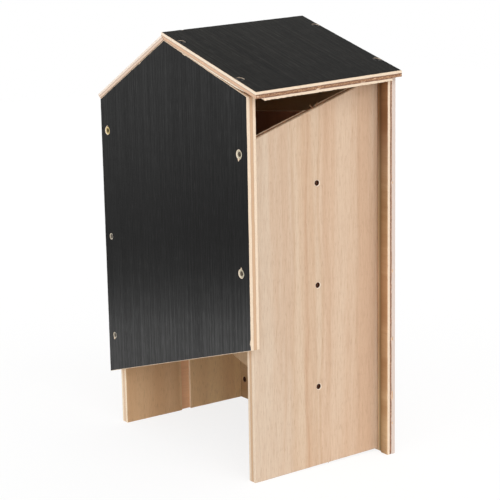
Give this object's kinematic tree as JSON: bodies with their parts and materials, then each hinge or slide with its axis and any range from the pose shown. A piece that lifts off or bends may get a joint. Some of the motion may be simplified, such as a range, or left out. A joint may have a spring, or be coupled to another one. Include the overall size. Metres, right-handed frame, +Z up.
{
  "type": "bat box",
  "caption": "Tall plywood bat box with a slanted front panel, a gabled roof, an open bottom and an inner partition, for hanging on a wall.",
  "frame": {"origin": "on the ground plane under the middle of the roof: the middle of the lowest face of the part's bounding box", "axes": "+Z up; -Y is the black front, +Y the back that hangs against the wall; +X is the viewer's right when facing the front"},
  "size_m": [0.2572, 0.158, 0.3965],
  "materials": {
    "black_stain": "black stain on plywood, low sheen, edges bare",
    "bare_plywood": "untreated birch-coloured plywood, sanded",
    "zinc": "yellowish zinc plate"
  },
  "bodies": {
    "root": {"front_panel": "black_stain", "back_panel": "bare_plywood", "left_side_panel": "bare_plywood", "right_side_panel": "bare_plywood", "partition_panel": "bare_plywood", "left_roof_board": "black_stain", "right_roof_board": "black_stain", "front_left_screw_1": "zinc", "front_left_screw_2": "zinc", "front_left_screw_3": "zinc", "front_right_screw_1": "zinc", "front_right_screw_2": "zinc", "back_left_screw_1": "zinc", "back_left_screw_2": "zinc", "back_left_screw_3": "zinc", "back_right_screw_1": "zinc", "back_right_screw_2": "zinc", "back_right_screw_3": "zinc", "left_roof_screw_1": "zinc", "left_roof_screw_2": "zinc", "left_roof_screw_3": "zinc", "left_roof_screw_4": "zinc", "right_roof_screw_1": "zinc", "right_roof_screw_2": "zinc", "right_roof_screw_3": "zinc", "right_roof_screw_4": "zinc", "left_partition_screw_1": "zinc", "left_partition_screw_2": "zinc", "right_partition_screw_1": "zinc", "right_partition_screw_2": "zinc", "right_partition_screw_3": "zinc"}
  },
  "joints": []
}
